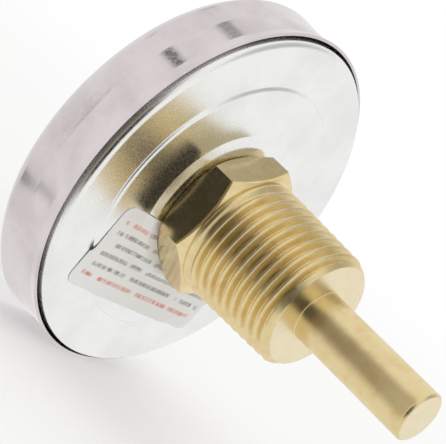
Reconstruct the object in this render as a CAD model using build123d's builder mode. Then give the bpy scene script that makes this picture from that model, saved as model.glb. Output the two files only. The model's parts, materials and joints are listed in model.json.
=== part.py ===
"""Back-connection dial thermometer with a half-inch pipe thread and a short bimetal stem.

Frame: the axis of the instrument is Y, +Y toward the tip of the stem. The dial faces -Y,
+Z is twelve o'clock on the dial and +X is three o'clock seen from the front. The origin
is on the axis at the thread side of the wrench hex. Millimetres throughout.
"""
from build123d import *
from math import atan, degrees, radians, tan
import os

# ---------------------------------------------------------------- driving dimensions
SHEET = 0.5                      # steel sheet of the pan and the bezel
BEZEL_LIP = 32.5                 # largest radius of the case, at the rear lip of the bezel
BEZEL_BORE = 31.5                # inside of the bezel wall
PAN_RADIUS = 31.46               # outside of the pan wall
THREAD_PITCH = 25.4 / 14         # fourteen threads to the inch
THREAD_TAPER = 1 / 32            # radius lost for each millimetre of length
THREAD_CREST = 10.96             # crest radius beside the hex
THREAD_DEPTH = 1.30
CREST_FLAT = 0.2
RIDGE_BASE = CREST_FLAT + 2 * THREAD_DEPTH * tan(radians(30))
THREAD_SINK = 0.15               # how far the ridge is rooted in the core
HEX_ACROSS = 22.2                # wrench size, seven eighths of an inch
HEX_TURN = 3.0                   # how far the hex stands turned from the dial's upright
HEX_FACE_INSET = 0.3             # the turned face of the hex is this much inside its flats
HEX_NOSE_INSET = 0.1             # the same at the thread side
HEX_LIMIT = HEX_ACROSS / 2 + 3.0  # outside the corners of the hex
HEX_CORNER_DROP = (HEX_LIMIT - HEX_ACROSS / 2 + HEX_FACE_INSET) * tan(radians(30))
HEX_NOSE_DROP = (HEX_LIMIT - HEX_ACROSS / 2 + HEX_NOSE_INSET) * tan(radians(30))
STEM_RADIUS = 4.45
STEM_WALL = 0.6
NECK_RADIUS = 4.2                # the stem steps down to this inside the fitting
TIP_CHAMFER = 0.35
SPINDLE_RADIUS = 0.8
RUNNING_GAP = 0.05               # radial clearance of every running fit
PRESS_GAP = 0.01                 # drawn gap of parts that are pressed together
LOOSE_GAP = 0.1                  # clearance of a washer on its spigot

# Stations along the axis, front to back
BEZEL_FRONT = -19.7
GLASS_FRONT = -18.5
GLASS_BACK = -16.9
PAN_FRONT = -16.1
HUB_FRONT = -15.9
POINTER_FRONT = -15.0
DIAL_FRONT = -13.5
BEARING_FRONT = -11.6
BEARING_END = -7.0
SPIGOT_FRONT = -11.0
BEZEL_BACK = -8.9
PAN_OUTER = -7.45                # outside of the pan between its rim and its step
PAN_INNER = -7.0                 # outside of the pan inside its step
BOSS_TOP = -6.42                 # outside of the boss that the hex sits on
HEX_FRONT = -6.3
THREAD_START = -1.2
THREAD_END = 17.8
FITTING_END = 19.25
LEAD_RADIUS = 9.3                # end of the lead-in cone
GUIDE_START, GUIDE_END = 9.0, 12.0
COLLAR_START, COLLAR_END = 14.5, 17.5
COIL_START, COIL_END = 18.3, 38.3
ANCHOR_END = 40.5
STEM_END = 42.8

# Bezel, as radii and lengths on the middle of its sheet
FLARE_LENGTH = 1.6               # rear lip, turned outward
WAIST_LENGTH = 4.0               # straight wall in front of the lip
SHOULDER_INSET = 0.4
SHOULDER_LENGTH = 1.6
FACE_INSET = 1.3
FACE_INNER = 29.0                # flat front of the bezel ends here
EYE_RADIUS = 28.0                # edge that bears on the window
EYE_GAP = 0.4
BEZEL_BENDS = [1.2, 2.0, 0.9, 0.9, 0.8]

# Rear of the pan, as radii on the middle of its sheet
STEP_FOOT, STEP_HEAD = 23.3, 23.0
BOSS_FOOT, BOSS_HEAD = 14.3, 12.6
RIM_BEND = 0.8
STEP_BEND = 0.5
BOSS_BEND = 1.2

# Window, dial and pointer
GLASS_RADIUS = 30.9
GLASS_BEVEL = 0.2
GASKET_RADIUS = 31.1
GASKET_INNER = 29.2
GASKET_SKIRT = 0.6               # thickness of the part inside the pan's wall
GASKET_DEPTH = 1.5
DIAL_RADIUS = 28.4
DIAL_SHEET = 0.5
DIAL_HOLE = 3.0
POINTER_SHEET = 0.4
POINTER_REACH = 22.5
POINTER_TAIL = 8.0
POINTER_TIP_HALF = 0.25
POINTER_HALF = 1.1               # half width beside the hub
POINTER_TAIL_HALF = 0.7
POINTER_EYE = 2.6                # round of the pointer about the hub
POINTER_WEIGHT = 1.9             # round at the end of the tail
HUB_RADIUS = 1.6
HUB_NOSE = 1.4
HUB_SHOULDER = 2.2
HUB_SHOULDER_THICKNESS = 0.7
POST_CIRCLE = 15.5               # radius at which the two dial posts stand
POST_RADIUS = 2.2
POST_HOLE_DEPTH = 3.6
SCREW_RADIUS = 1.0
SCREW_LENGTH = 3.8
SCREW_HEAD = 1.9
SCREW_HEAD_HEIGHT = 0.7
SCREW_HEAD_ROUND = 0.3
SCREW_SLOT = 0.5
SCREW_SLOT_DEPTH = 0.35

# Fitting, lock nut and washers
SPIGOT_RADIUS = 6.4
NUT_ACROSS = 19.0
NUT_THICKNESS = 2.4
NUT_CHAMFER = 0.3
WASHER_THICKNESS = 0.5
TOOTH_COUNT = 12
TOOTH_LENGTH = 1.6
TOOTH_WIDTH = 1.5
TOOTH_ROOT = 1.4                 # from the spigot to the ring that carries the teeth
SEAL_RADIUS = 10.4

# Bearings, spindle and bimetal coil
BEARING_FLANGE = 5.6
SPINDLE_CHAMFER = 0.15
COLLAR_RADIUS = 1.8
COIL_RADIUS = 2.5                # middle of the strip
STRIP_THICKNESS = 0.3
STRIP_WIDTH = 1.1
COIL_TURNS = 12
END_PLAY = 0.1                   # free length between the coil and its anchor
ANCHOR_GAP = 0.05

# Label
LABEL_WIDTH = 38.0
LABEL_HEIGHT = 15.5
LABEL_CENTRE_Z = -12.95
LABEL_CORNER = 2.0
LABEL_OUTER = 29.5               # beyond the corners of the label
LABEL_INNER = 11.2               # the label is cut out at the hex
LABEL_THICKNESS = 0.12


def across(y):
    """Plane square to the axis at y: its x runs to twelve o'clock, its y to three o'clock."""
    return Plane(origin=(0, y, 0), x_dir=(0, 0, 1), z_dir=(0, 1, 0))


def side_line(points, shift):
    """Corner points of a line that runs beside the given one, shift to its left."""
    corners = [Vector(*point) for point in points]
    runs = [(b - a).normalized() for a, b in zip(corners, corners[1:])]
    lefts = [Vector(-run.Y, run.X) for run in runs]
    befores = lefts[:1] + lefts
    afters = lefts + lefts[-1:]
    return [
        corner + (before + after) * (shift / (1 + before.dot(after)))
        for corner, before, after in zip(corners, befores, afters)
    ]


def bent_sheet(points, bends, sides):
    """Section of a bent sheet.

    points and bends give a reference line and the bend radii on it. sides holds the
    distances of the sheet's two faces from that line, positive to its left.
    """
    turns = []
    for a, b, c in zip(points, points[1:], points[2:]):
        turn = (b[0] - a[0]) * (c[1] - b[1]) - (b[1] - a[1]) * (c[0] - b[0])
        turns.append(1 if turn > 0 else -1)
    with BuildLine() as outline:
        faces = []
        for side in sides:
            radii = [bend - turn * side for bend, turn in zip(bends, turns)]
            faces.append(FilletPolyline(*side_line(points, side), radius=radii))
        Line(faces[0] @ 0, faces[1] @ 0)
        Line(faces[0] @ 1, faces[1] @ 1)
    make_face(outline.edges())


BOTH_SIDES = (SHEET / 2, -SHEET / 2)

# Middle of the pan's sheet as radius and station, from the front of its wall to the hole.
PAN_LINE = [
    (PAN_RADIUS - SHEET / 2, PAN_FRONT),
    (PAN_RADIUS - SHEET / 2, PAN_OUTER - SHEET / 2),
    (STEP_FOOT, PAN_OUTER - SHEET / 2),
    (STEP_HEAD, PAN_INNER - SHEET / 2),
    (BOSS_FOOT, PAN_INNER - SHEET / 2),
    (BOSS_HEAD, BOSS_TOP - SHEET / 2),
    (SPIGOT_RADIUS + LOOSE_GAP, BOSS_TOP - SHEET / 2),
]
PAN_BENDS = [RIM_BEND, STEP_BEND, STEP_BEND, BOSS_BEND, BOSS_BEND]


# ---------------------------------------------------------------- case
# Bezel: rolled sheet ring that holds the window against the pan.
with BuildPart() as bezel_ring:
    with BuildSketch():
        bent_sheet(
            [
                (BEZEL_LIP - SHEET / 2, BEZEL_BACK),
                (BEZEL_BORE + SHEET / 2, BEZEL_BACK - FLARE_LENGTH),
                (BEZEL_BORE + SHEET / 2, BEZEL_BACK - FLARE_LENGTH - WAIST_LENGTH),
                (BEZEL_LIP - SHOULDER_INSET, BEZEL_FRONT + SHOULDER_LENGTH),
                (BEZEL_LIP - FACE_INSET, BEZEL_FRONT + SHEET / 2),
                (FACE_INNER, BEZEL_FRONT + SHEET / 2),
                (EYE_RADIUS, GLASS_FRONT - EYE_GAP),
            ],
            BEZEL_BENDS,
            BOTH_SIDES,
        )
    revolve(axis=Axis.Y)

# Pan: drawn cup with a rounded rim, a raised middle and a low boss for the hex.
with BuildPart() as case_pan:
    with BuildSketch():
        bent_sheet(PAN_LINE, PAN_BENDS, BOTH_SIDES)
    revolve(axis=Axis.Y)

# Label: thin sheet that follows the back of the pan and its boss up to the hex.
label_face = -SHEET / 2 - PRESS_GAP
with BuildPart() as back_label:
    with BuildSketch():
        bent_sheet(
            [
                (LABEL_OUTER, PAN_OUTER - SHEET / 2),
                *PAN_LINE[2:6],
                (LABEL_INNER, BOSS_TOP - SHEET / 2),
            ],
            PAN_BENDS[1:5],
            (label_face, label_face - LABEL_THICKNESS),
        )
    revolve(axis=Axis.Y)
    with BuildSketch(across(BEZEL_BACK)):
        with Locations((LABEL_CENTRE_Z, 0)):
            RectangleRounded(LABEL_HEIGHT, LABEL_WIDTH, LABEL_CORNER)
    extrude(amount=-BEZEL_BACK, mode=Mode.INTERSECT)

# ---------------------------------------------------------------- window
with BuildPart() as window_glass:
    with BuildSketch(across(GLASS_FRONT)):
        Circle(GLASS_RADIUS)
    extrude(amount=GLASS_BACK - GLASS_FRONT)
    chamfer(window_glass.edges(), length=GLASS_BEVEL)

# Gasket: L section, on the edge of the pan and down inside its wall.
skirt_outer = PAN_RADIUS - SHEET - RUNNING_GAP
with BuildPart() as window_gasket:
    with BuildSketch():
        with BuildLine():
            Polyline(
                (GASKET_INNER, GLASS_BACK),
                (GASKET_RADIUS, GLASS_BACK),
                (GASKET_RADIUS, PAN_FRONT),
                (skirt_outer, PAN_FRONT),
                (skirt_outer, PAN_FRONT + GASKET_DEPTH),
                (skirt_outer - GASKET_SKIRT, PAN_FRONT + GASKET_DEPTH),
                (skirt_outer - GASKET_SKIRT, PAN_FRONT),
                (GASKET_INNER, PAN_FRONT),
                close=True,
            )
        make_face()
    revolve(axis=Axis.Y)

# ---------------------------------------------------------------- dial
dial_back = DIAL_FRONT + DIAL_SHEET
post_places = [(0, POST_CIRCLE), (0, -POST_CIRCLE)]

with BuildPart() as dial_plate:
    with BuildSketch(across(DIAL_FRONT)):
        Circle(DIAL_RADIUS)
        Circle(DIAL_HOLE, mode=Mode.SUBTRACT)
        with Locations(*post_places):
            Circle(SCREW_RADIUS + LOOSE_GAP, mode=Mode.SUBTRACT)
    extrude(amount=DIAL_SHEET)

# Posts: two pillars spot welded inside the pan, drilled for the dial screws.
post_foot = PAN_INNER - SHEET
with BuildPart() as dial_posts:
    with BuildSketch(across(dial_back)):
        with Locations(*post_places):
            Circle(POST_RADIUS)
    extrude(amount=post_foot - dial_back)
    with BuildSketch(across(dial_back)):
        with Locations(*post_places):
            Circle(SCREW_RADIUS + PRESS_GAP)
    extrude(amount=POST_HOLE_DEPTH, mode=Mode.SUBTRACT)

# Screws: pan heads with a driver slot.
head_front = DIAL_FRONT - SCREW_HEAD_HEIGHT
with BuildPart() as dial_screws:
    with BuildSketch(across(head_front)):
        with Locations(*post_places):
            Circle(SCREW_HEAD)
    extrude(amount=SCREW_HEAD_HEIGHT)
    fillet(dial_screws.faces().sort_by(Axis.Y)[0:2].edges(), radius=SCREW_HEAD_ROUND)
    with BuildSketch(across(DIAL_FRONT)):
        with Locations(*post_places):
            Circle(SCREW_RADIUS)
    extrude(amount=SCREW_LENGTH)
    with BuildSketch(across(head_front)):
        with Locations(*post_places):
            Rectangle(SCREW_SLOT, 2 * SCREW_HEAD)
    extrude(amount=SCREW_SLOT_DEPTH, mode=Mode.SUBTRACT)

# ---------------------------------------------------------------- pointer and spindle
# Pointer: tapered needle to the left at rest, with a rounded tail that balances it.
with BuildPart() as pointer:
    with BuildSketch(across(POINTER_FRONT)):
        with BuildLine():
            Polyline(
                (POINTER_TIP_HALF, -POINTER_REACH),
                (POINTER_HALF, 0),
                (POINTER_TAIL_HALF, POINTER_TAIL),
                (-POINTER_TAIL_HALF, POINTER_TAIL),
                (-POINTER_HALF, 0),
                (-POINTER_TIP_HALF, -POINTER_REACH),
                close=True,
            )
        make_face()
        Circle(POINTER_EYE)
        with Locations((0, POINTER_TAIL)):
            Circle(POINTER_WEIGHT)
        Circle(HUB_RADIUS + PRESS_GAP, mode=Mode.SUBTRACT)
    extrude(amount=POINTER_SHEET)

# Hub: turned bush that carries the pointer against its shoulder.
shoulder_front = POINTER_FRONT + POINTER_SHEET
hub_back = shoulder_front + HUB_SHOULDER_THICKNESS
with BuildPart() as pointer_hub:
    with BuildSketch():
        with BuildLine():
            Polyline(
                (SPINDLE_RADIUS + PRESS_GAP, HUB_FRONT),
                (HUB_NOSE, HUB_FRONT),
                (HUB_RADIUS, HUB_FRONT + HUB_RADIUS - HUB_NOSE),
                (HUB_RADIUS, shoulder_front),
                (HUB_SHOULDER, shoulder_front),
                (HUB_SHOULDER, hub_back),
                (SPINDLE_RADIUS + PRESS_GAP, hub_back),
                close=True,
            )
        make_face()
    revolve(axis=Axis.Y)

with BuildPart() as spindle:
    with BuildSketch(across(HUB_FRONT)):
        Circle(SPINDLE_RADIUS)
    extrude(amount=COLLAR_END - HUB_FRONT)
    chamfer(spindle.edges().filter_by(GeomType.CIRCLE), length=SPINDLE_CHAMFER)

# Upper bearing: flanged bush in the front of the fitting.
with BuildPart() as upper_bearing:
    with BuildSketch():
        with BuildLine():
            Polyline(
                (SPINDLE_RADIUS + RUNNING_GAP, BEARING_FRONT),
                (BEARING_FLANGE, BEARING_FRONT),
                (BEARING_FLANGE, SPIGOT_FRONT),
                (NECK_RADIUS, SPIGOT_FRONT),
                (NECK_RADIUS, BEARING_END),
                (SPINDLE_RADIUS + RUNNING_GAP, BEARING_END),
                close=True,
            )
        make_face()
    revolve(axis=Axis.Y)

# Lower bearing: guide bush inside the stem tube.
tube_bore = STEM_RADIUS - STEM_WALL
with BuildPart() as lower_bearing:
    with BuildSketch(across(GUIDE_START)):
        Circle(tube_bore - PRESS_GAP)
        Circle(SPINDLE_RADIUS + RUNNING_GAP, mode=Mode.SUBTRACT)
    extrude(amount=GUIDE_END - GUIDE_START)

# ---------------------------------------------------------------- bimetal element
# Collar: clamps the turning end of the coil to the spindle.
with BuildPart() as coil_collar:
    with BuildSketch(across(COLLAR_START)):
        Circle(COLLAR_RADIUS)
        Circle(SPINDLE_RADIUS + PRESS_GAP, mode=Mode.SUBTRACT)
    extrude(amount=COLLAR_END - COLLAR_START)
    with BuildSketch(across(COLLAR_END)):
        Circle(COIL_RADIUS + STRIP_THICKNESS)
    extrude(amount=COIL_START - STRIP_WIDTH / 2 - COLLAR_END)

# Coil: flat bimetal strip wound on edge along the stem.
coil_height = COIL_END - COIL_START
coil_pitch = coil_height / COIL_TURNS
with BuildPart() as bimetal_coil:
    with BuildLine() as coil_path:
        Helix(
            pitch=coil_pitch,
            height=coil_height,
            radius=COIL_RADIUS,
            center=(0, COIL_START, 0),
            direction=(0, 1, 0),
        )
    start = coil_path.line @ 0
    with BuildSketch(Plane(origin=start, x_dir=(start.X, 0, start.Z), z_dir=coil_path.line % 0)):
        Rectangle(STRIP_THICKNESS, STRIP_WIDTH)
    sweep(path=coil_path.line, is_frenet=True)

# Anchor: plug that holds the fixed end of the coil in the tip of the stem.
anchor_start = COIL_END + STRIP_WIDTH / 2 + END_PLAY
with BuildPart() as coil_anchor:
    with BuildSketch(across(anchor_start)):
        Circle(tube_bore - PRESS_GAP)
    extrude(amount=ANCHOR_END - anchor_start)

# ---------------------------------------------------------------- stem and fitting
# Stem: thin closed tube, brazed in the bore of the fitting.
with BuildPart() as stem_tube:
    with BuildSketch():
        with BuildLine():
            Polyline(
                (tube_bore, BEARING_END + LOOSE_GAP),
                (NECK_RADIUS, BEARING_END + LOOSE_GAP),
                (NECK_RADIUS, FITTING_END),
                (STEM_RADIUS, FITTING_END),
                (STEM_RADIUS, STEM_END - TIP_CHAMFER),
                (STEM_RADIUS - TIP_CHAMFER, STEM_END),
                (0, STEM_END),
                (0, ANCHOR_END + ANCHOR_GAP),
                (tube_bore, ANCHOR_END + ANCHOR_GAP),
                close=True,
            )
        make_face()
    revolve(axis=Axis.Y)


def crest(y):
    """Crest radius of the tapered thread at station y."""
    return THREAD_CREST - THREAD_TAPER * y


def root(y):
    """Root radius of the tapered thread at station y."""
    return crest(y) - THREAD_DEPTH


# Fitting: wrench hex, tapered pipe thread and spigot in one piece of brass.
with BuildPart() as threaded_fitting:
    # Hex, with its corners turned off at thirty degrees on both sides.
    with BuildSketch(across(HEX_FRONT)):
        RegularPolygon(HEX_ACROSS / 2, 6, major_radius=False, rotation=-HEX_TURN)
    extrude(amount=-HEX_FRONT)
    with BuildSketch():
        with BuildLine():
            Polyline(
                (0, HEX_FRONT),
                (HEX_ACROSS / 2 - HEX_FACE_INSET, HEX_FRONT),
                (HEX_LIMIT, HEX_FRONT + HEX_CORNER_DROP),
                (HEX_LIMIT, -HEX_NOSE_DROP),
                (HEX_ACROSS / 2 - HEX_NOSE_INSET, 0),
                (0, 0),
                close=True,
            )
        make_face()
    revolve(axis=Axis.Y, mode=Mode.INTERSECT)
    # Thread ridge, swept along a tapered helix from inside the hex past the last thread.
    with BuildLine() as ridge_path:
        Helix(
            pitch=THREAD_PITCH,
            height=FITTING_END - THREAD_START + THREAD_PITCH / 2,
            radius=root(THREAD_START),
            center=(0, THREAD_START, 0),
            direction=(0, 1, 0),
            cone_angle=-degrees(atan(THREAD_TAPER)),
        )
    ridge_start = ridge_path.line @ 0
    outward = (ridge_start.X, 0, ridge_start.Z)
    with BuildSketch(Plane(origin=ridge_start, x_dir=outward, z_dir=ridge_path.line % 0)):
        with BuildLine():
            Polyline(
                (-THREAD_SINK, -RIDGE_BASE / 2),
                (0, -RIDGE_BASE / 2),
                (THREAD_DEPTH, -CREST_FLAT / 2),
                (THREAD_DEPTH, CREST_FLAT / 2),
                (0, RIDGE_BASE / 2),
                (-THREAD_SINK, RIDGE_BASE / 2),
                close=True,
            )
        make_face()
    sweep(path=ridge_path.line, is_frenet=True)
    # Core under the thread, and the spigot that passes through the pan.
    with BuildSketch():
        with BuildLine():
            Polyline(
                (0, SPIGOT_FRONT),
                (SPIGOT_RADIUS, SPIGOT_FRONT),
                (SPIGOT_RADIUS, HEX_FRONT),
                (root(0), HEX_FRONT),
                (root(0), 0),
                (root(FITTING_END), FITTING_END),
                (0, FITTING_END),
                close=True,
            )
        make_face()
    revolve(axis=Axis.Y)
    # Lead-in: everything past the last thread is turned down to a short cone.
    with BuildSketch():
        with BuildLine():
            Polyline(
                (0, SPIGOT_FRONT),
                (HEX_LIMIT, SPIGOT_FRONT),
                (HEX_LIMIT, 0),
                (crest(0) + THREAD_SINK, 0),
                (crest(THREAD_END) + THREAD_SINK, THREAD_END),
                (LEAD_RADIUS, FITTING_END),
                (0, FITTING_END),
                close=True,
            )
        make_face()
    revolve(axis=Axis.Y, mode=Mode.INTERSECT)
    # Bore for the bearing and the stem.
    with BuildSketch(across(SPIGOT_FRONT)):
        Circle(NECK_RADIUS + PRESS_GAP)
    extrude(amount=FITTING_END - SPIGOT_FRONT, mode=Mode.SUBTRACT)

# Seal: fibre washer between the hex and the boss of the pan.
with BuildPart() as seal_washer:
    with BuildSketch(across(BOSS_TOP)):
        Circle(SEAL_RADIUS)
        Circle(SPIGOT_RADIUS + LOOSE_GAP, mode=Mode.SUBTRACT)
    extrude(amount=HEX_FRONT - BOSS_TOP)

# Lock washer with internal teeth, inside the pan.
washer_back = BOSS_TOP - SHEET
with BuildPart() as lock_washer:
    with BuildSketch(across(washer_back - WASHER_THICKNESS)):
        Circle(NUT_ACROSS / 2)
        Circle(SPIGOT_RADIUS + TOOTH_ROOT, mode=Mode.SUBTRACT)
        with PolarLocations(SPIGOT_RADIUS + LOOSE_GAP + TOOTH_LENGTH / 2, TOOTH_COUNT):
            Rectangle(TOOTH_LENGTH, TOOTH_WIDTH)
    extrude(amount=WASHER_THICKNESS)

# Lock nut on the spigot.
nut_back = washer_back - WASHER_THICKNESS
with BuildPart() as lock_nut:
    with BuildSketch(across(nut_back - NUT_THICKNESS)):
        RegularPolygon(NUT_ACROSS / 2, 6, major_radius=False)
        Circle(SPIGOT_RADIUS + PRESS_GAP, mode=Mode.SUBTRACT)
    extrude(amount=NUT_THICKNESS)
    chamfer(lock_nut.edges().filter_by(GeomType.CIRCLE), length=NUT_CHAMFER)

# ---------------------------------------------------------------- write the pieces
PIECES = {
    "bezel_ring": bezel_ring,
    "window_glass": window_glass,
    "window_gasket": window_gasket,
    "case_pan": case_pan,
    "dial_plate": dial_plate,
    "dial_posts": dial_posts,
    "dial_screws": dial_screws,
    "pointer": pointer,
    "pointer_hub": pointer_hub,
    "spindle": spindle,
    "upper_bearing": upper_bearing,
    "lower_bearing": lower_bearing,
    "coil_collar": coil_collar,
    "bimetal_coil": bimetal_coil,
    "coil_anchor": coil_anchor,
    "stem_tube": stem_tube,
    "threaded_fitting": threaded_fitting,
    "seal_washer": seal_washer,
    "lock_washer": lock_washer,
    "lock_nut": lock_nut,
    "back_label": back_label,
}

os.makedirs("parts", exist_ok=True)
for name, piece in PIECES.items():
    piece.part.label = name
    export_step(piece.part, f"parts/{name}.step")
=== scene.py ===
"""Looks of the dial thermometer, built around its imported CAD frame. Metres throughout.

The axis of the instrument is Y, with +Y toward the tip of the stem. The dial faces -Y
and +Z is twelve o'clock on the dial.
"""

import json
import math

import bmesh
import bpy
from mathutils import Matrix, Vector, noise


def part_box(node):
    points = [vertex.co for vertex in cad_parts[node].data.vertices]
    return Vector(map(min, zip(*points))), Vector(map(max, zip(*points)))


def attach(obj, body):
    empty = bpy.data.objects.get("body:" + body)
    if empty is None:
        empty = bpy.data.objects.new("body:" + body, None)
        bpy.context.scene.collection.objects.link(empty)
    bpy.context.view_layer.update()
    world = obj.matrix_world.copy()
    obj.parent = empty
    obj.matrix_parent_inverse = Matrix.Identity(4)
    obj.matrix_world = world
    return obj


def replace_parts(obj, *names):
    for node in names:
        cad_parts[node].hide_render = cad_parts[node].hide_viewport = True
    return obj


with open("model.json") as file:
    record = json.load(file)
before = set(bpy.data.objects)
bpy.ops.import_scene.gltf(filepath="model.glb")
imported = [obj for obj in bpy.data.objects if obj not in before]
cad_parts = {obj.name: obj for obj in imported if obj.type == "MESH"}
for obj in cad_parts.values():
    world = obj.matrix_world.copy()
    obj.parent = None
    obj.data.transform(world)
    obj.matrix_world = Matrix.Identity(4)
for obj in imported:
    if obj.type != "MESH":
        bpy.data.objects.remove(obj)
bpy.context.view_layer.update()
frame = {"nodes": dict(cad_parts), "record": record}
MM = 0.001

# ---------------------------------------------------------------- sizes from the frame
FITTING_LOW, FITTING_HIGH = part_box("threaded_fitting")
PAN_LOW, PAN_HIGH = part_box("case_pan")
BEZEL_LOW, BEZEL_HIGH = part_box("bezel_ring")
GLASS_LOW, GLASS_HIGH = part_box("window_glass")
LABEL_LOW, LABEL_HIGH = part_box("back_label")
DIAL_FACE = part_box("dial_plate")[0].y
STEM_LOW, STEM_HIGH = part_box("stem_tube")
SEAL_LOW, SEAL_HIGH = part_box("seal_washer")

SHEET = 0.5 * MM                 # steel of the pan and the bezel
SHEET_FACES = (SHEET / 2, -SHEET / 2)
LOOSE_GAP = 0.1 * MM             # between the spigot and what is pushed over it
HEX_ACROSS = 22.2 * MM
HEX_TURN = math.radians(3.0)
HEX_FRONT = SEAL_HIGH.y
HEX_FACE_INSET = 0.3 * MM        # the turned face of the hex lies this much inside its flats
HEX_NOSE_INSET = 0.1 * MM        # the same at the thread side
HEX_SLOPE = math.tan(math.radians(30))
HEX_CORNERS = 6
SPIGOT_FRONT = FITTING_LOW.y
SPIGOT_RADIUS = 6.4 * MM
FITTING_END = FITTING_HIGH.y
NECK_RADIUS = 4.2 * MM
THREAD_PITCH = 25.4 / 14 * MM
THREAD_TAPER = 1 / 32
THREAD_CREST = 10.96 * MM
THREAD_DEPTH = 1.10 * MM         # the rounded roots are shallower than the CAD's sharp ones
THREAD_END = 17.8 * MM
LEAD_RADIUS = 9.3 * MM
PAN_OUTER = -7.45 * MM           # back of the pan between its rim and its step
PAN_INNER = -7.0 * MM            # back of the pan inside its step
STEP_FOOT, STEP_HEAD = 23.3 * MM, 23.0 * MM
BOSS_FOOT, BOSS_HEAD = 14.3 * MM, 12.6 * MM
BOSS_TOP = SEAL_LOW.y


# ---------------------------------------------------------------- node helpers
class Nodes:
    """A node tree with short calls for the nodes used here."""

    def __init__(self, tree):
        self.tree = tree
        self.tree.nodes.clear()

    def add(self, kind, inputs=None, **settings):
        node = self.tree.nodes.new(kind)
        for key, value in settings.items():
            setattr(node, key, value)
        for key, value in (inputs or {}).items():
            if hasattr(value, "is_output"):
                self.tree.links.new(value, node.inputs[key])
            else:
                node.inputs[key].default_value = value
        return node

    def math(self, operation, a, b=0.0):
        return self.add("ShaderNodeMath", {0: a, 1: b}, operation=operation).outputs[0]

    def smooth(self, value, low, high, to_low=0.0, to_high=1.0):
        """A soft step of value, from to_low below low to to_high above high."""
        inputs = {"Value": value, "From Min": low, "From Max": high, "To Min": to_low, "To Max": to_high}
        return self.add("ShaderNodeMapRange", inputs, interpolation_type="SMOOTHSTEP").outputs[0]

    def mix(self, share, a, b):
        inputs = {0: share, 6: a, 7: b}
        return self.add("ShaderNodeMix", inputs, data_type="RGBA").outputs[2]

    def split(self, vector):
        """The three parts of a vector."""
        return self.add("ShaderNodeSeparateXYZ", {0: vector}).outputs

    def place(self):
        """Position in the object's own frame, in metres."""
        return self.add("ShaderNodeTexCoord").outputs["Object"]

    def noise(self, vector, size, detail=3.0, roughness=0.55):
        """Noise whose grains are about size metres across."""
        inputs = {"Vector": vector, "Scale": 1 / size, "Detail": detail, "Roughness": roughness}
        return self.add("ShaderNodeTexNoise", inputs).outputs[0]

    def stretched(self, vector, scale):
        return self.add("ShaderNodeMapping", {"Vector": vector, "Scale": scale}).outputs[0]

    def radius(self, vector):
        """Distance from the instrument's axis."""
        flat = self.add("ShaderNodeVectorMath", {0: vector, 1: (1, 0, 1)}, operation="MULTIPLY")
        return self.add("ShaderNodeVectorMath", {0: flat.outputs[0]}, operation="LENGTH").outputs["Value"]

    def bump(self, height, depth, normal=None):
        inputs = {"Height": height, "Distance": depth, "Strength": 1.0}
        if normal is not None:
            inputs["Normal"] = normal
        return self.add("ShaderNodeBump", inputs).outputs[0]

    def mix_shaders(self, share, a, b):
        return self.add("ShaderNodeMixShader", {0: share, 1: a.outputs[0], 2: b.outputs[0]})

    def surface(self, shader, output="ShaderNodeOutputMaterial"):
        self.tree.links.new(shader.outputs[0], self.add(output).inputs["Surface"])


def new_material(name):
    material = bpy.data.materials.new(name)
    material.use_nodes = True
    return material, Nodes(material.node_tree)


def principled(nodes, **inputs):
    named = {key.replace("_", " "): value for key, value in inputs.items()}
    nodes.surface(nodes.add("ShaderNodeBsdfPrincipled", named))


# ---------------------------------------------------------------- materials
def turned_lines(nodes, place, size, depth, along_axis=True):
    """Fine tool marks that run round the axis."""
    if along_axis:
        across = nodes.stretched(place, (60.0, 1 / size, 60.0))
    else:
        radius = nodes.radius(place)
        across = nodes.add("ShaderNodeCombineXYZ", {0: nodes.math("DIVIDE", radius, size)}).outputs[0]
    lines = nodes.add("ShaderNodeTexNoise", {"Vector": across, "Scale": 1.0, "Detail": 2.0}).outputs[0]
    return nodes.bump(lines, depth)


def brass(name, shine, marks, along_axis=True, thread_shine=None):
    """Bright brass with reddish mottling, tool marks and a painted pale highlight on the faces that look
    toward +Y, the ends.

    shine is its roughness, and thread_shine the roughness past the hex.
    """
    material, nodes = new_material(name)
    place = nodes.place()
    stains = nodes.noise(place, 4 * MM, 4.0)
    tint = nodes.mix(nodes.smooth(stains, 0.35, 0.75), GOLD, GOLD_DARK)
    blush = nodes.noise(place, 1.8 * MM, 4.0, 0.6)
    tint = nodes.mix(nodes.smooth(blush, 0.46, 0.74, 0.0, 0.40), tint, RED_BRASS)
    normal_at = nodes.add("ShaderNodeNewGeometry").outputs["Normal"]
    # Painted highlight: faces that look toward +Y, such as the fitting's end and the stem's tip, get a
    # paler brass that stands in for the bright reflection on them.
    end_highlight = nodes.smooth(nodes.split(normal_at)[1], 0.93, 0.99, 0.0, 0.55)
    tint = nodes.mix(end_highlight, tint, BRASS_END_HIGHLIGHT)
    grain = nodes.noise(place, 0.35 * MM, 2.0)
    rough = nodes.smooth(grain, 0.3, 0.8, shine, shine + 0.05)
    if thread_shine is not None:
        more = nodes.smooth(nodes.split(place)[1], -0.2 * MM, 0.4 * MM, 0.0, thread_shine - shine)
        rough = nodes.math("ADD", rough, more)
    normal = turned_lines(nodes, place, 0.12 * MM, marks, along_axis)
    principled(nodes, Base_Color=tint, Metallic=1.0, Roughness=rough, Normal=normal)
    return material


def sheet_steel(name, colour, dark, shine, ripple, streak):
    """Bright sheet: slow ripple from drawing, fine streaks round the axis, faint marks."""
    material, nodes = new_material(name)
    place = nodes.place()
    cloud = nodes.noise(place, 9 * MM, 3.0)
    tint = nodes.mix(nodes.smooth(cloud, 0.35, 0.7), colour, dark)
    streaks = turned_lines(nodes, place, 0.25 * MM, streak, along_axis=False)
    wave = nodes.noise(place, 6 * MM, 1.0)
    normal = nodes.bump(wave, ripple, streaks)
    grain = nodes.noise(place, 0.5 * MM, 2.0)
    rough = nodes.smooth(grain, 0.25, 0.85, shine, shine + 0.10)
    principled(nodes, Base_Color=tint, Metallic=1.0, Roughness=rough, Normal=normal)
    return material


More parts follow.
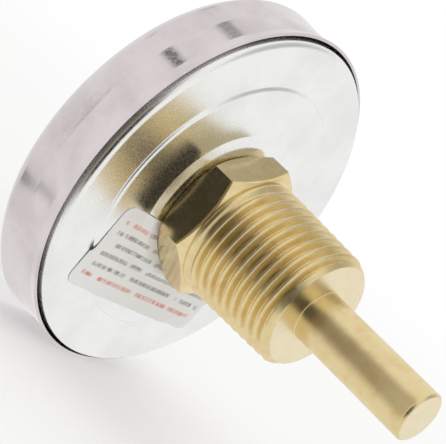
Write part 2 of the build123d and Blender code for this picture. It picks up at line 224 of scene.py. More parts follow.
def plain_surface(name, colour, dark, rough, grain_size, grain_depth, metallic=0.0):
    """Moulded, painted or printed surface with slight mottling and a fine grain."""
    material, nodes = new_material(name)
    place = nodes.place()
    tint = nodes.mix(nodes.noise(place, 3 * MM, 3.0), colour, dark)
    grain = nodes.noise(place, grain_size, 3.0)
    roughness = nodes.smooth(grain, 0.2, 0.8, rough - 0.06, rough + 0.06)
    normal = nodes.bump(grain, grain_depth)
    principled(nodes, Base_Color=tint, Roughness=roughness, Normal=normal, Metallic=metallic)
    return material


def clear_glass(name):
    """Thin flat glass: it lets light through and mirrors more at a slant, with faint smears."""
    material, nodes = new_material(name)
    smears = nodes.noise(nodes.place(), 5 * MM, 3.0)
    rough = nodes.smooth(smears, 0.4, 0.8, 0.0, 0.06)
    gloss = nodes.add("ShaderNodeBsdfGlossy", {"Color": (1, 1, 1, 1), "Roughness": rough})
    through = nodes.add("ShaderNodeBsdfTransparent", {"Color": (0.985, 0.995, 0.99, 1)})
    share = nodes.add("ShaderNodeFresnel", {"IOR": 1.5}).outputs[0]
    nodes.surface(nodes.mix_shaders(share, through, gloss))
    return material


# Colours of the metals, some with the darker cast that mottles them
GOLD = (0.84, 0.70, 0.40, 1)
GOLD_DARK = (0.77, 0.61, 0.31, 1)
RED_BRASS = (0.72, 0.45, 0.22, 1)
# Painted highlight: a pale brass for the ends, standing in for their bright reflection.
BRASS_END_HIGHLIGHT = (0.93, 0.87, 0.68, 1)
STEEL = (0.93, 0.94, 0.93, 1)
STEEL_DARK = (0.86, 0.87, 0.86, 1)
# Painted reflection: the rose tint of the bezel's steel stands in for a pinkish reflection; its grey and
# the darker mottling are the steel's own.
ROSE_REFLECTION_STEEL = (0.74, 0.68, 0.695, 1)
ROSE_REFLECTION_STEEL_DARK = (0.62, 0.565, 0.58, 1)

# Colour, darker colour, roughness, size of the grain, its depth, and 1.0 for a metal
PLAIN_SURFACES = {
    "gasket_rubber": ((0.02, 0.02, 0.02, 1), (0.035, 0.035, 0.035, 1), 0.75, 0.2 * MM, 0.01 * MM),
    "dial_paint": ((0.96, 0.96, 0.945, 1), (0.92, 0.92, 0.905, 1), 0.45, 0.15 * MM, 0.002 * MM),
    "dial_ink": ((0.02, 0.02, 0.022, 1), (0.04, 0.04, 0.045, 1), 0.5, 0.1 * MM, 0.002 * MM),
    "pointer_paint": ((0.02, 0.02, 0.02, 1), (0.035, 0.035, 0.035, 1), 0.42, 0.12 * MM, 0.003 * MM),
    "bearing_plastic": ((0.80, 0.78, 0.70, 1), (0.74, 0.72, 0.64, 1), 0.4, 0.3 * MM, 0.004 * MM),
    "bimetal_strip": ((0.56, 0.50, 0.42, 1), (0.48, 0.42, 0.34, 1), 0.3, 0.2 * MM, 0.004 * MM, 1.0),
    "seal_fibre": ((0.46, 0.44, 0.40, 1), (0.38, 0.36, 0.32, 1), 0.7, 0.15 * MM, 0.01 * MM),
}

MATERIALS = {
    "fitting_brass": brass("fitting_brass", 0.16, 0.001 * MM, thread_shine=0.28),
    "stem_brass": brass("stem_brass", 0.28, 0.003 * MM),
    "brass_small": brass("brass_small", 0.22, 0.006 * MM),
    "nut_brass": brass("nut_brass", 0.24, 0.006 * MM, along_axis=False),
    # The bezel's rose tint is a painted pinkish reflection.
    "bezel_steel": sheet_steel("bezel_steel", ROSE_REFLECTION_STEEL, ROSE_REFLECTION_STEEL_DARK, 0.09, 0.02 * MM, 0.001 * MM),
    "pan_steel": sheet_steel("pan_steel", STEEL, STEEL_DARK, 0.22, 0.01 * MM, 0.001 * MM),
    "bright_steel": sheet_steel("bright_steel", STEEL, STEEL_DARK, 0.20, 0.005 * MM, 0.004 * MM),
    "window": clear_glass("window"),
}
MATERIALS.update({name: plain_surface(name, *look) for name, look in PLAIN_SURFACES.items()})


def dress_cad_nodes():
    """The material of its slot on each node that comes over from the CAD."""
    slots = {row["node"]: row["material_slot"] for row in frame["record"]["subparts"]}
    for node_name, cad_object in frame["nodes"].items():
        cad_object.data.materials.clear()
        cad_object.data.materials.append(MATERIALS.get(slots[node_name], MATERIALS["bright_steel"]))


dress_cad_nodes()


# ---------------------------------------------------------------- mesh helpers
SHARP = math.radians(28)         # edges that turn by more than this stay sharp


def mesh_piece(name, vertices, faces, material, body):
    """A smooth-shaded mesh with its sharp edges kept, riding on a body."""
    mesh = bpy.data.meshes.new(name)
    mesh.from_pydata([tuple(v) for v in vertices], [], faces)
    shaped = bmesh.new()
    shaped.from_mesh(mesh)
    bmesh.ops.remove_doubles(shaped, verts=shaped.verts, dist=1e-8)
    bmesh.ops.recalc_face_normals(shaped, faces=shaped.faces)
    for face in shaped.faces:
        face.smooth = True
    for edge in shaped.edges:
        if edge.is_manifold and edge.calc_face_angle(0.0) > SHARP:
            edge.smooth = False
    shaped.to_mesh(mesh)
    shaped.free()
    piece = bpy.data.objects.new(name, mesh)
    bpy.context.scene.collection.objects.link(piece)
    piece.data.materials.append(material)
    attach(piece, body)
    return piece


def clock(radius, angle, y):
    """Point at a radius and an angle from twelve o'clock, clockwise seen from the front."""
    return Vector((radius * math.sin(angle), y, radius * math.cos(angle)))


def closed_ring_mesh(columns):
    """Vertices and quads of a closed ring whose sections are the given columns."""
    count, rows = len(columns), len(columns[0])
    vertices = [point for column in columns for point in column]
    faces = []
    for i in range(count):
        here, after = i * rows, (i + 1) % count * rows
        for j in range(rows):
            k = (j + 1) % rows
            faces.append((here + j, after + j, after + k, here + k))
    return vertices, faces


def rounded(points, bends, steps=7):
    """The open line through points, with each inner corner replaced by an arc of its bend radius."""
    line = [Vector(points[0])]
    for before, corner, after, bend in zip(points, points[1:], points[2:], bends):
        corner = Vector(corner)
        back = (Vector(before) - corner).normalized()
        ahead = (Vector(after) - corner).normalized()
        half = back.angle(ahead) / 2
        middle = (back + ahead).normalized()
        centre = corner + middle * (bend / math.sin(half))
        start = corner + back * (bend / math.tan(half)) - centre
        end = corner + ahead * (bend / math.tan(half)) - centre
        for step in range(steps + 1):
            share = step / steps
            line.append(centre + start.lerp(end, share).normalized() * bend)
    line.append(Vector(points[-1]))
    return line


def beside(points, shift):
    """Corner points of a line that runs beside the given one, shift to its left."""
    corners = [Vector(point) for point in points]
    runs = [(b - a).normalized() for a, b in zip(corners, corners[1:])]
    lefts = [Vector((-run.y, run.x)) for run in runs]
    befores, afters = lefts[:1] + lefts, lefts + lefts[-1:]
    return [c + (m + n) * (shift / (1 + m.dot(n))) for c, m, n in zip(corners, befores, afters)]


def sheet_sides(points, bends, sides):
    """Rounded lines that run along the two faces of a bent sheet."""
    turns = []
    for a, b, c in zip(points, points[1:], points[2:]):
        turn = (b[0] - a[0]) * (c[1] - b[1]) - (b[1] - a[1]) * (c[0] - b[0])
        turns.append(1 if turn > 0 else -1)
    return [rounded(beside(points, side), [r - t * side for r, t in zip(bends, turns)]) for side in sides]


def lathe(name, outline, closed, body, slot, turns):
    """Turned piece: an outline of radius and station, spun round the axis."""
    columns = [[clock(r, 2 * math.pi * i / turns, y) for r, y in outline] for i in range(turns)]
    vertices, faces = closed_ring_mesh(columns)
    if not closed:
        rows = len(outline)
        faces = [face for i, face in enumerate(faces) if i % rows != rows - 1]
    return mesh_piece(name, vertices, faces, MATERIALS[slot], body)


def softened(corners, bevel):
    """A closed outline with every corner cut by a small bevel."""
    outline = []
    count = len(corners)
    for i, corner in enumerate(corners):
        here = Vector(corner)
        for other in (corners[i - 1], corners[(i + 1) % count]):
            run = Vector(other) - here
            outline.append(here + run.normalized() * min(bevel, run.length / 3))
    return outline


# ---------------------------------------------------------------- case
STEM_PLUG = 2.25 * MM            # solid end of the stem
SEAL_BEVEL = 0.06 * MM
CASE_TURNS, SMALL_TURNS = 288, 160   # flats round a turned piece

PAN_LINE = [
    (PAN_HIGH.x - SHEET / 2, PAN_LOW.y),
    (PAN_HIGH.x - SHEET / 2, PAN_OUTER - SHEET / 2),
    (STEP_FOOT, PAN_OUTER - SHEET / 2),
    (STEP_HEAD, PAN_INNER - SHEET / 2),
    (BOSS_FOOT, PAN_INNER - SHEET / 2),
    (BOSS_HEAD, BOSS_TOP - SHEET / 2),
    (SPIGOT_RADIUS + LOOSE_GAP, BOSS_TOP - SHEET / 2),
]
PAN_BENDS = [0.8 * MM, 0.5 * MM, 0.5 * MM, 1.2 * MM, 1.2 * MM]
PAN_INSIDE, PAN_OUTSIDE = sheet_sides(PAN_LINE, PAN_BENDS, SHEET_FACES)

BEZEL_LIP = BEZEL_HIGH.x
LIP_EDGE = BEZEL_HIGH.y - 0.07 * MM   # middle of the sheet at the lip's slanted edge
WAIST_RADIUS = BEZEL_LIP - 0.74 * MM
FLARE_LENGTH = 1.6 * MM
WAIST_LENGTH = 4.0 * MM
SHOULDER_INSET, SHOULDER_LENGTH = 0.39 * MM, 1.6 * MM
FACE_INSET = 1.29 * MM
FACE_INNER, EYE_RADIUS = 29.0 * MM, 28.0 * MM
EYE_GAP = 0.4 * MM
BEZEL_LINE = [
    (BEZEL_LIP - SHEET / 2, LIP_EDGE),
    (WAIST_RADIUS, LIP_EDGE - FLARE_LENGTH),
    (WAIST_RADIUS, LIP_EDGE - FLARE_LENGTH - WAIST_LENGTH),
    (BEZEL_LIP - SHOULDER_INSET, BEZEL_LOW.y + SHOULDER_LENGTH),
    (BEZEL_LIP - FACE_INSET, BEZEL_LOW.y + SHEET / 2),
    (FACE_INNER, BEZEL_LOW.y + SHEET / 2),
    (EYE_RADIUS, GLASS_LOW.y - EYE_GAP),
]
BEZEL_BENDS = [1.2 * MM, 2.0 * MM, 0.9 * MM, 0.9 * MM, 0.8 * MM]


def make_case():
    """Pan, bezel and the seal under the hex."""
    cup = PAN_INSIDE + PAN_OUTSIDE[::-1]
    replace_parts(lathe("pan_cup", cup, True, "case", "pan_steel", CASE_TURNS), "case_pan")
    inside, outside = sheet_sides(BEZEL_LINE, BEZEL_BENDS, SHEET_FACES)
    rim = inside + outside[::-1]
    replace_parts(lathe("bezel_rim", rim, True, "case", "bezel_steel", CASE_TURNS), "bezel_ring")
    bore, outer, low, high = SPIGOT_RADIUS + LOOSE_GAP, SEAL_HIGH.x, SEAL_LOW.y, SEAL_HIGH.y
    ring = softened([(bore, low), (outer, low), (outer, high), (bore, high)], SEAL_BEVEL)
    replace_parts(lathe("hex_seal", ring, True, "case", "seal_fibre", CASE_TURNS), "seal_washer")


def make_stem():
    """Closed brass tube with a small fillet at the fitting and a turned-off tip."""
    radius, wall, chamfer = STEM_HIGH.x, 0.6 * MM, 0.35 * MM
    soft = 0.12 * MM
    outline = [
        (0.0, STEM_HIGH.y - STEM_PLUG),
        (radius - wall, STEM_HIGH.y - STEM_PLUG),
        (radius - wall, STEM_LOW.y),
        (NECK_RADIUS, STEM_LOW.y),
        (NECK_RADIUS, FITTING_END),
        (radius + soft, FITTING_END),
        (radius + soft / 3, FITTING_END + soft / 3),
        (radius, FITTING_END + soft),
        (radius, FITTING_END + 3 * soft),
        (radius, STEM_HIGH.y - chamfer - 3 * soft),
        (radius, STEM_HIGH.y - chamfer - soft),
        (radius - soft / 3, STEM_HIGH.y - chamfer),
        (radius - chamfer, STEM_HIGH.y - soft / 4),
        (radius - chamfer - soft, STEM_HIGH.y),
        (0.0, STEM_HIGH.y),
    ]
    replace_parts(lathe("stem_bulb", outline, False, "case", "stem_brass", SMALL_TURNS), "stem_tube")


def make_glass():
    """Flat pane with a small bevel."""
    radius, soft = GLASS_HIGH.x, 0.2 * MM
    outline = [
        (0.0, GLASS_LOW.y),
        (radius - soft, GLASS_LOW.y),
        (radius, GLASS_LOW.y + soft),
        (radius, GLASS_HIGH.y - soft),
        (radius - soft, GLASS_HIGH.y),
        (0.0, GLASS_HIGH.y),
    ]
    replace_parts(lathe("window_pane", outline, False, "case", "window", SMALL_TURNS), "window_glass")


make_case()
make_stem()
make_glass()


# ---------------------------------------------------------------- fitting
FITTING_COLUMNS = 240
THREAD_STEP = 0.09 * MM
BEVEL = 0.12 * MM
RUNOUT_LENGTH = 3.2 * MM         # the first turns beside the hex are cut less deep
RUNOUT_DEPTH = 0.35              # share of the thread's depth right at the hex
LEAD_STEP = 0.15 * MM            # the lead-in cone starts this much outside the crests
NOSE_EDGE = 0.02 * MM            # at the foot of the thread
END_BEVEL = 0.25 * MM
BORE_BEVEL, BORE_DEPTH = 0.2 * MM, 0.15 * MM


def crest_radius(y):
    return THREAD_CREST - THREAD_TAPER * y


def thread_radius(angle, y):
    """Right-hand tapered thread with a soft wave for its section, a run-out and a turned lead-in."""
    turn = (y / THREAD_PITCH + angle / (2 * math.pi)) % 1.0
    away = abs(2 * turn - 1)
    height = 0.5 + 0.5 * math.cos(math.pi * away)
    past_hex = min(1.0, y / RUNOUT_LENGTH)
    cut = RUNOUT_DEPTH + (1 - RUNOUT_DEPTH) * past_hex * past_hex * (3 - 2 * past_hex)
    radius = crest_radius(y) - THREAD_DEPTH * cut * (1 - height)
    past_thread = max(0.0, (y - THREAD_END) / (FITTING_END - THREAD_END))
    last = crest_radius(THREAD_END)
    lead = last + LEAD_STEP + (LEAD_RADIUS - last) * past_thread
    return min(radius, lead) if past_thread > 0 else radius


def fitting_column(angle):
    """Section of the fitting at one angle, from the bore round the outside and back."""
    apothem = HEX_ACROSS / 2
    sixth = 2 * math.pi / HEX_CORNERS
    from_corner = (angle + HEX_TURN) % sixth
    flat = apothem / math.cos(from_corner - sixth / 2)
    face = apothem - HEX_FACE_INSET
    shoulder = HEX_FRONT + (flat - face) * HEX_SLOPE
    nose = apothem - HEX_NOSE_INSET
    drop = (flat - nose) * HEX_SLOPE
    # The doubled points along the flat keep its smooth shading flat up to the bevels
    outline = [
        (NECK_RADIUS, SPIGOT_FRONT),
        (SPIGOT_RADIUS - BEVEL, SPIGOT_FRONT),
        (SPIGOT_RADIUS, SPIGOT_FRONT + BEVEL),
        (SPIGOT_RADIUS, HEX_FRONT),
        (face - BEVEL, HEX_FRONT),
        (face, HEX_FRONT + BEVEL * 0.3),
        (flat - BEVEL * 0.6, shoulder - BEVEL * 0.35),
        (flat, shoulder + BEVEL * 0.5),
        (flat, shoulder + BEVEL * 2.0),
        (flat, -drop - 4 * BEVEL),
        (flat, -drop - 3 * BEVEL),
        (flat - 0.4 * BEVEL, -drop - 0.6 * BEVEL),
        (flat - 0.8 * BEVEL, -drop + 0.8 * BEVEL * HEX_SLOPE),
        (nose, -NOSE_EDGE / 2),
        (nose - NOSE_EDGE, 0.0),
    ]
    steps = int(FITTING_END / THREAD_STEP)
    for step in range(steps + 1):
        y = FITTING_END * step / steps
        outline.append((thread_radius(angle, y), y))
    outline.append((LEAD_RADIUS - END_BEVEL, FITTING_END))
    outline.append((NECK_RADIUS + BORE_BEVEL, FITTING_END))
    outline.append((NECK_RADIUS, FITTING_END - BORE_DEPTH))
    return [clock(radius, angle, y) for radius, y in outline]


def make_fitting():
    """Hex, thread and spigot as one ring of columns, with a column on each corner of the hex."""
    turns = [2 * math.pi * i / FITTING_COLUMNS for i in range(FITTING_COLUMNS)]
    vertices, faces = closed_ring_mesh([fitting_column(-HEX_TURN + turn) for turn in turns])
    slot = "fitting_brass"
    piece = mesh_piece("fitting_body", vertices, faces, MATERIALS[slot], "case")
    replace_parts(piece, "threaded_fitting")


make_fitting()


# ---------------------------------------------------------------- label
LABEL_RIGHT = LABEL_HIGH.x
LABEL_TOP, LABEL_BOTTOM = LABEL_HIGH.z, LABEL_LOW.z
LABEL_CORNER = 2.0 * MM
LABEL_INNER = 11.2 * MM          # cut out at the hex
LABEL_THICKNESS = 0.10 * MM
LABEL_LIFT = 0.02 * MM
FOLD_RADIUS = 23.6 * MM          # the label puckers where it crosses the pan's step
FOLD_WIDTH = 1.1 * MM
FOLD_LIFT, FOLD_RIPPLE = 0.09 * MM, 0.10 * MM
BRIDGE_REACH = 0.5 * MM          # the film spans hollows narrower than twice this
RIPPLE_SIZE, SWELL_SIZE = 2.6 * MM, 6.0 * MM
PRINT_ROWS = 6
ROW_PITCH = 2.02 * MM
FIRST_ROW = LABEL_TOP - 1.7 * MM
HEADING_LEFT = 9.5               # in millimetres, where the red bars of the first row begin
INK_GREY = (0.16, 0.16, 0.17, 1)
INK_RED = (0.72, 0.16, 0.11, 1)


def pan_height(radius):
    """Station of the pan's outer face at a radius."""
    for outer, inner in zip(PAN_OUTSIDE, PAN_OUTSIDE[1:]):
        if inner.x <= radius <= outer.x:
            share = (outer.x - radius) / max(outer.x - inner.x, 1e-9)
            return outer.y + share * (inner.y - outer.y)
    return BOSS_TOP


def label_height(x, z):
    """Station of the label's under side: it bridges the step of the pan and puckers there."""
    radius = math.hypot(x, z)
    laid = max(pan_height(radius + reach) for reach in (0, BRIDGE_REACH, -BRIDGE_REACH))
    near_fold = math.exp(-(((radius - FOLD_RADIUS) / FOLD_WIDTH) ** 2))
    ripple = noise.noise(Vector((x, z, 0.0)) / RIPPLE_SIZE)
    swell = noise.noise(Vector((x, z, 0.02)) / SWELL_SIZE)
    return laid + LABEL_LIFT * (2 + swell) + near_fold * (FOLD_LIFT + FOLD_RIPPLE * ripple)


def label_columns():
    """Places across the label, closer together in its rounded corners."""
    corner_steps, steps = 8, 120
    straight = LABEL_RIGHT - LABEL_CORNER
    left = []
    for i in range(corner_steps):
        left.append(-LABEL_RIGHT + LABEL_CORNER * (1 - math.cos(math.pi / 2 * i / corner_steps)))
    middle = [-straight + 2 * straight * i / steps for i in range(steps + 1)]
    return left + middle + [-x for x in reversed(left)]


def label_ends(x):
    """Upper and lower edge of the label at x, with its round corners and the cut-out."""
    inset = max(0.0, abs(x) - (LABEL_RIGHT - LABEL_CORNER))
    trim = LABEL_CORNER - math.sqrt(max(0.0, LABEL_CORNER ** 2 - inset ** 2))
    top = LABEL_TOP - trim
    if abs(x) < LABEL_INNER:
        top = min(top, -math.sqrt(LABEL_INNER ** 2 - x ** 2))
    return top, LABEL_BOTTOM + trim


def print_noise(nodes, x, y, detail):
    """Noise over a flat place, for the bars of the print."""
    place = nodes.add("ShaderNodeCombineXYZ", {0: x, 1: y}).outputs[0]
    return nodes.add("ShaderNodeTexNoise", {"Vector": place, "Scale": 1.0, "Detail": detail}).outputs[0]


def printed_ink(nodes, across, down):
    """Share of ink: rows of bars with worn edges, across in millimetres and down in rows."""
    row = nodes.math("FLOOR", down)
    within = nodes.math("FRACT", down)
    lower = nodes.smooth(within, 0.26, 0.38)
    upper = nodes.smooth(within, 0.62, 0.74, 1.0, 0.0)
    long_steps, row_steps = nodes.math("MULTIPLY", across, 0.42), nodes.math("MULTIPLY", row, 5.3)
    word = nodes.smooth(print_noise(nodes, long_steps, row_steps, 0.0), 0.37, 0.40)
    short_steps, fine_steps = nodes.math("MULTIPLY", across, 4.0), nodes.math("MULTIPLY", down, 1.7)
    stroke = nodes.smooth(print_noise(nodes, short_steps, fine_steps, 1.0), 0.40, 0.60, 0.25, 1.0)
    margin = nodes.smooth(nodes.math("ABSOLUTE", across), 16.9, 17.1, 1.0, 0.0)
    first = nodes.math("GREATER_THAN", row, -0.5)
    last = nodes.math("LESS_THAN", row, PRINT_ROWS - 0.5)
    ink = lower
    for share in (upper, word, stroke, margin, first, last):
        ink = nodes.math("MULTIPLY", ink, share)
    return ink


def label_paper():
    """Off-white film printed with rows of plain bars that spell nothing."""
    material, nodes = new_material("label_paper")
    place = nodes.place()
    across = nodes.math("DIVIDE", nodes.split(place)[0], MM)
    down = nodes.math("DIVIDE", nodes.math("SUBTRACT", FIRST_ROW, nodes.split(place)[2]), ROW_PITCH)
    row = nodes.math("FLOOR", down)
    in_first = nodes.math("LESS_THAN", row, 0.5)
    heading = nodes.math("MULTIPLY", in_first, nodes.math("GREATER_THAN", across, HEADING_LEFT))
    red = nodes.math("MAXIMUM", heading, nodes.math("GREATER_THAN", row, PRINT_ROWS - 1.5))
    ink_colour = nodes.mix(red, INK_GREY, INK_RED)
    film = nodes.mix(nodes.noise(place, 7 * MM), (0.90, 0.90, 0.885, 1), (0.84, 0.84, 0.825, 1))
    ink = nodes.math("MULTIPLY", printed_ink(nodes, across, down), 0.85)
    fibre = nodes.noise(place, 0.3 * MM)
    normal = nodes.bump(fibre, 0.004 * MM)
    principled(nodes, Base_Color=nodes.mix(ink, film, ink_colour), Roughness=0.42, Normal=normal)
    return material


def make_label():
    """A thin sheet laid on the pan: a grid of points, the same grid lifted, and a wall round them."""
    columns, rows = label_columns(), 56
    under = []
    for x in columns:
        top, bottom = label_ends(x)
        for j in range(rows + 1):
            z = top + (bottom - top) * j / rows
            under.append(Vector((x, label_height(x, z), z)))
    over = [point + Vector((0, LABEL_THICKNESS, 0)) for point in under]
    count = len(under)
    faces = []
    for i in range(len(columns) - 1):
        for j in range(rows):
            a = i * (rows + 1) + j
            b = a + rows + 1
            faces.append((a, b, b + 1, a + 1))
    faces += [tuple(k + count for k in reversed(face)) for face in faces]
    last = len(columns) - 1
    rim = [(i, 0) for i in range(last)] + [(last, j) for j in range(rows)]
    rim += [(i, rows) for i in range(last, 0, -1)] + [(0, j) for j in range(rows, 0, -1)]
    loop = [i * (rows + 1) + j for i, j in rim]
    faces += [(a, b, b + count, a + count) for a, b in zip(loop, loop[1:] + loop[:1])]
    label = mesh_piece("label_sheet", under + over, faces, label_paper(), "case")
    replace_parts(label, "back_label")


make_label()


# ---------------------------------------------------------------- dial print
SCALE_START, SCALE_SWEEP = math.radians(-135), math.radians(270)
SCALE_LOW, SCALE_HIGH = 0, 120
SCALE_RADIUS = 25.4 * MM
ARC_WIDTH = 0.18 * MM
ARC_STEPS = 180
PRINT_THICKNESS = 0.03 * MM
NUMBER_RADIUS = 20.0 * MM
NUMBER_SIZE = 3.2 * MM
UNIT_SIZE = 4.6 * MM
UNIT_DROP = 9.5 * MM
BLOCK_FACES = [(0, 1, 2, 3), (7, 6, 5, 4), (0, 4, 5, 1), (1, 5, 6, 2), (2, 6, 7, 3), (3, 7, 4, 0)]


def scale_angle(value):
    return SCALE_START + SCALE_SWEEP * (value - SCALE_LOW) / (SCALE_HIGH - SCALE_LOW)


def mark_size(value):
    """Length and half width of the mark at a value, in metres."""
    if value % 20 == 0:
        return 3.0 * MM, 0.22 * MM
    if value % 10 == 0:
        return 2.2 * MM, 0.14 * MM
    return 1.3 * MM, 0.08 * MM


def dial_block(inner, outer, half_width, angle):
    """Corners of a flat printed block that points at the dial's centre."""
    side = Vector((math.cos(angle), 0, -math.sin(angle))) * half_width
    corners = []
    for y in (DIAL_FACE, DIAL_FACE - PRINT_THICKNESS):
        near, far = clock(inner, angle, y), clock(outer, angle, y)
        corners += [near - side, near + side, far + side, far - side]
    return corners


def make_dial_marks():
    """Scale of two-degree marks with an arc outside them."""
    vertices = []
    for value in range(SCALE_LOW, SCALE_HIGH + 1, 2):
        length, half_width = mark_size(value)
        vertices += dial_block(SCALE_RADIUS - length, SCALE_RADIUS, half_width, scale_angle(value))
    half_step = SCALE_RADIUS * SCALE_SWEEP / ARC_STEPS / 2
    for step in range(ARC_STEPS):
        angle = SCALE_START + SCALE_SWEEP * (step + 0.5) / ARC_STEPS
        vertices += dial_block(SCALE_RADIUS, SCALE_RADIUS + ARC_WIDTH, half_step, angle)
    firsts = range(0, len(vertices), 8)
    faces = [tuple(first + k for k in face) for first in firsts for face in BLOCK_FACES]
    mesh_piece("dial_marks", vertices, faces, MATERIALS["dial_ink"], "case")


def dial_text(name, text, place, height):
    """A printed number, upright on the dial and centred on its place."""
    curve = bpy.data.curves.new(name, "FONT")
    curve.body = text
    curve.size = height
    curve.align_x = "CENTER"
    curve.align_y = "CENTER"
    curve.extrude = PRINT_THICKNESS / 2
    holder = bpy.data.objects.new(name + "_outline", curve)
    bpy.context.scene.collection.objects.link(holder)
    bpy.context.view_layer.update()
    shaped = holder.evaluated_get(bpy.context.evaluated_depsgraph_get())
    mesh = bpy.data.meshes.new_from_object(shaped)
    bpy.data.objects.remove(holder)
    upright = Matrix.Rotation(math.pi / 2, 4, "X")
    move = Matrix.Translation(Vector((place.x, DIAL_FACE - PRINT_THICKNESS / 2, place.z)))
    mesh.transform(move @ upright)
    mesh.name = name
    mesh.materials.clear()
    mesh.materials.append(MATERIALS["dial_ink"])
    piece = bpy.data.objects.new(name, mesh)
    bpy.context.scene.collection.objects.link(piece)
    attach(piece, "case")


def make_dial_print():
    """The scale, a number every twenty degrees, and the unit under the pointer's hub."""
    make_dial_marks()
    for value in range(SCALE_LOW, SCALE_HIGH + 1, 20):
        place = clock(NUMBER_RADIUS, scale_angle(value), 0)
        dial_text(f"dial_number_{value}", str(value), place, NUMBER_SIZE)
    dial_text("dial_unit", "°C", Vector((0, 0, -UNIT_DROP)), UNIT_SIZE)


make_dial_print()


# ---------------------------------------------------------------- stage, light, camera
WHITE = (1, 1, 1, 1)
TENT_WHITE = (0.93, 0.925, 0.915, 1)

# Direction, inner and outer half angle in degrees, share of light taken away
DARK_ZONES = [
    ((0.88, 0.45, -0.01), 24, 38, 0.99),
    ((-0.40, 0.50, 0.77), 12, 36, 0.45),
    ((-0.08, -0.56, 0.83), 1, 6, 0.60),
    ((0.47, -0.56, 0.68), 1, 4, 0.90),
    ((0.53, -0.50, -0.68), 1, 6, 0.60),
]


def world_light():
    """White studio tent with soft dark zones. The camera sees plain white behind the object."""
    world = bpy.data.worlds.new("studio")
    bpy.context.scene.world = world
    world.use_nodes = True
    nodes = Nodes(world.node_tree)
    direction = nodes.add("ShaderNodeTexCoord").outputs["Generated"]
    level = 1.0
    for toward, inner, outer, darkness in DARK_ZONES:
        pair = {0: direction, 1: tuple(Vector(toward).normalized())}
        facing = nodes.add("ShaderNodeVectorMath", pair, operation="DOT_PRODUCT").outputs["Value"]
        low, high = math.cos(math.radians(outer)), math.cos(math.radians(inner))
        level = nodes.math("MULTIPLY", level, nodes.smooth(facing, low, high, 1.0, 1.0 - darkness))
    tent = nodes.add("ShaderNodeBackground", {"Color": TENT_WHITE, "Strength": level})
    paper = nodes.add("ShaderNodeBackground", {"Color": WHITE, "Strength": 1.0})
    seen = nodes.add("ShaderNodeLightPath").outputs["Is Camera Ray"]
    nodes.surface(nodes.mix_shaders(seen, tent, paper), "ShaderNodeOutputWorld")


def area_light(name, place, size, power):
    """Round soft light that points at the object and does not show in its reflections."""
    lamp = bpy.data.lights.new(name, "AREA")
    lamp.shape = "DISK"
    lamp.size = size
    lamp.energy = power
    holder = bpy.data.objects.new(name, lamp)
    holder.location = place
    holder.rotation_euler = (-Vector(place)).to_track_quat("-Z", "Y").to_euler()
    holder.visible_glossy = False
    bpy.context.scene.collection.objects.link(holder)


def stage_sheet(name, vertices, faces):
    """A flat studio surface that is not part of the object, with an empty material."""
    mesh = bpy.data.meshes.new(name)
    mesh.from_pydata(vertices, [], faces)
    sheet = bpy.data.objects.new(name, mesh)
    bpy.context.scene.collection.objects.link(sheet)
    material, nodes = new_material(name + "_surface")
    sheet.data.materials.append(material)
    return sheet, nodes


FLAG_DARK = (0.06, 0.05, 0.045, 1)
FLAG_BROWN = (0.30, 0.26, 0.19, 1)
FLAG_NEAR, FLAG_FAR = -42 * MM, 12 * MM     # along the axis of the instrument
FLAG_AWAY, FLAG_LIFT = 90 * MM, 9 * MM
FLAG_HALF_HEIGHT = 150 * MM
FLAG_SOFT_NEAR, FLAG_SOFT_FAR = 6 * MM, 10 * MM
FLAG_TURN = (-30 * MM, -16 * MM)            # where its dark end turns brown


def make_flag():
    """Dark brown card beside the stem with soft edges, which only reflections see."""
    low, high = FLAG_LIFT - FLAG_HALF_HEIGHT, FLAG_LIFT + FLAG_HALF_HEIGHT
    corners = [(FLAG_NEAR, low), (FLAG_FAR, low), (FLAG_FAR, high), (FLAG_NEAR, high)]
    flag, nodes = stage_sheet("flag", [(FLAG_AWAY, y, z) for y, z in corners], [(0, 1, 2, 3)])
    flag.visible_camera = False
    flag.visible_diffuse = False
    flag.visible_shadow = False
    place = nodes.split(nodes.place())
    near_edge = nodes.smooth(place[1], FLAG_NEAR, FLAG_NEAR + FLAG_SOFT_NEAR, 1.0, 0.0)
    far_edge = nodes.smooth(place[1], FLAG_FAR - FLAG_SOFT_FAR, FLAG_FAR)
    height = nodes.math("ABSOLUTE", nodes.math("SUBTRACT", place[2], FLAG_LIFT))
    ends = nodes.smooth(height, 0.2 * FLAG_HALF_HEIGHT, 0.8 * FLAG_HALF_HEIGHT)
    gone = nodes.math("MAXIMUM", nodes.math("MAXIMUM", near_edge, far_edge), ends)
    colour = nodes.mix(nodes.smooth(place[1], *FLAG_TURN), FLAG_DARK, FLAG_BROWN)
    cloth = nodes.add("ShaderNodeEmission", {"Color": colour, "Strength": 1.0})
    clear = nodes.add("ShaderNodeBsdfTransparent")
    nodes.surface(nodes.mix_shaders(gone, cloth, clear))


FLOOR_GAP = 1.05 * MM            # below the pan, so that the floor clears the bezel
FLOOR_REACH = 0.6
FLOOR_FADE = (0.10, 0.50)        # the floor thins out between these distances
FLOOR_SPOKES = 96
FLOOR_GLOW = 0.35                # share of its own light


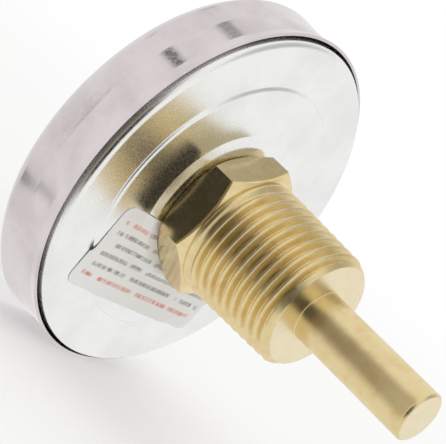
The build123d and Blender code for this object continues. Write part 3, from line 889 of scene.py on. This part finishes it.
def make_floor():
    """Pale round floor that thins out with distance, so that it has no edge."""
    level = PAN_LOW.z - FLOOR_GAP
    angles = [2 * math.pi * i / FLOOR_SPOKES for i in range(FLOOR_SPOKES)]
    rim = [(FLOOR_REACH * math.cos(angle), FLOOR_REACH * math.sin(angle), level) for angle in angles]
    faces = [(0, 1 + i, 1 + (i + 1) % FLOOR_SPOKES) for i in range(FLOOR_SPOKES)]
    floor, nodes = stage_sheet("floor", [(0, 0, level)] + rim, faces)
    floor.visible_glossy = False
    place = nodes.place()
    tint = nodes.mix(nodes.noise(place, 2 * MM), (0.97, 0.97, 0.97, 1), (0.95, 0.95, 0.95, 1))
    paper = nodes.add("ShaderNodeBsdfDiffuse", {"Color": tint})
    glow = nodes.add("ShaderNodeEmission", {"Color": WHITE, "Strength": 1.0})
    paper = nodes.mix_shaders(FLOOR_GLOW, paper, glow)
    away = nodes.add("ShaderNodeVectorMath", {0: place}, operation="LENGTH").outputs["Value"]
    clear = nodes.add("ShaderNodeBsdfTransparent")
    nodes.surface(nodes.mix_shaders(nodes.smooth(away, *FLOOR_FADE), paper, clear))


# Axes and place of the camera that the photograph was taken from, in the object's frame
CAMERA_RIGHT = Vector((-0.4514, 0.6142, 0.6470))
CAMERA_UP = Vector((0.2446, -0.6123, 0.7515))
CAMERA_BACK = Vector((0.8577, 0.4979, 0.1262))
CAMERA_PLACE = Vector((263.5, 148.9, 38.8)) * MM
FOCAL_LENGTH, SENSOR_WIDTH = 157.5, 36      # in millimetres, as Blender counts them


def make_camera():
    """The photograph's viewpoint: behind the case, rolled so that the stem points down right."""
    camera = bpy.data.cameras.new("camera")
    camera.lens = FOCAL_LENGTH
    camera.sensor_width = SENSOR_WIDTH
    holder = bpy.data.objects.new("camera", camera)
    turn = Matrix((CAMERA_RIGHT, CAMERA_UP, CAMERA_BACK)).transposed().to_4x4()
    holder.matrix_world = Matrix.Translation(CAMERA_PLACE) @ turn
    bpy.context.scene.collection.objects.link(holder)
    bpy.context.scene.camera = holder


world_light()
area_light("key_light", (-0.25, 0.20, 1.10), 1.0, 1.6)
area_light("fill_light", (0.60, 0.60, 0.50), 0.8, 0.9)
make_flag()
make_floor()
make_camera()
bpy.context.scene.view_settings.view_transform = "Standard"
